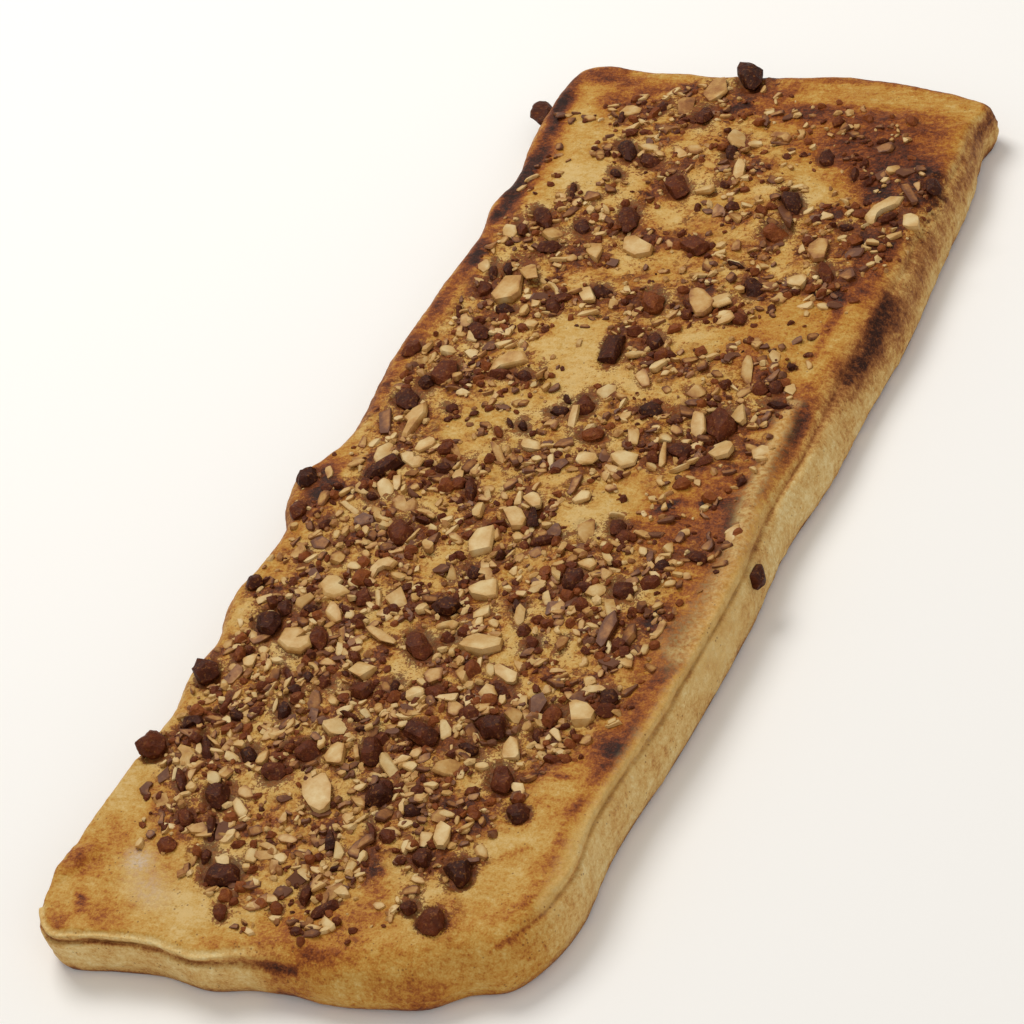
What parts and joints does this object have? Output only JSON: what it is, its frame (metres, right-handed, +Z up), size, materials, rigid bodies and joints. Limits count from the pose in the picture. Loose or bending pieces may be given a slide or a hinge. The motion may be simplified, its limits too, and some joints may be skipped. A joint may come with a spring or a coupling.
{
  "type": "coca pastry",
  "caption": "Long flat slab of baked sweet pastry with a glazed golden crust, chocolate chips and chopped almonds pressed into the top.",
  "frame": {"origin": "middle of the footprint, on the plane the pastry rests on", "axes": "+X across the width, +Y along the length towards the thinner square-cornered end, +Z up"},
  "size_m": [0.149, 0.3614, 0.0195],
  "materials": {
    "crust": "baked dough crust, brushed with egg wash, satin",
    "chocolate": "dark chocolate, softened in the oven, slightly glossy",
    "almond": "blanched chopped almond, toasted, matt"
  },
  "bodies": {
    "root": {"pastry_dough": "crust", "chocolate_chip_01": "chocolate", "chocolate_chip_02": "chocolate", "chocolate_chip_03": "chocolate", "chocolate_chip_04": "chocolate", "chocolate_chip_05": "chocolate", "chocolate_chip_06": "chocolate", "chocolate_chip_07": "chocolate", "chocolate_chip_08": "chocolate", "chocolate_chip_09": "chocolate", "chocolate_chip_10": "chocolate", "chocolate_chip_11": "chocolate", "chocolate_chip_12": "chocolate", "chocolate_chip_13": "chocolate", "chocolate_chip_14": "chocolate", "chocolate_chip_15": "chocolate", "chocolate_chip_16": "chocolate", "chocolate_chip_17": "chocolate", "chocolate_chip_18": "chocolate", "chocolate_chip_19": "chocolate", "chocolate_chip_20": "chocolate", "chocolate_chip_21": "chocolate", "chocolate_chip_22": "chocolate", "chocolate_chip_23": "chocolate", "chocolate_chip_24": "chocolate", "chocolate_chip_25": "chocolate", "chocolate_chip_26": "chocolate", "chocolate_chip_27": "chocolate", "chocolate_chip_28": "chocolate", "chocolate_chip_29": "chocolate", "chocolate_chip_30": "chocolate", "chocolate_chip_31": "chocolate", "chocolate_chip_32": "chocolate", "almond_piece_01": "almond", "almond_piece_02": "almond", "almond_piece_03": "almond", "almond_piece_04": "almond", "almond_piece_05": "almond", "almond_piece_06": "almond", "almond_piece_07": "almond", "almond_piece_08": "almond", "almond_piece_09": "almond", "almond_piece_10": "almond", "almond_piece_11": "almond", "almond_piece_12": "almond", "almond_piece_13": "almond", "almond_piece_14": "almond", "almond_piece_15": "almond", "almond_piece_16": "almond", "almond_piece_17": "almond", "almond_piece_18": "almond", "almond_piece_19": "almond", "almond_piece_20": "almond", "almond_piece_21": "almond", "almond_piece_22": "almond", "almond_piece_23": "almond", "almond_piece_24": "almond", "almond_piece_25": "almond"}
  },
  "joints": []
}
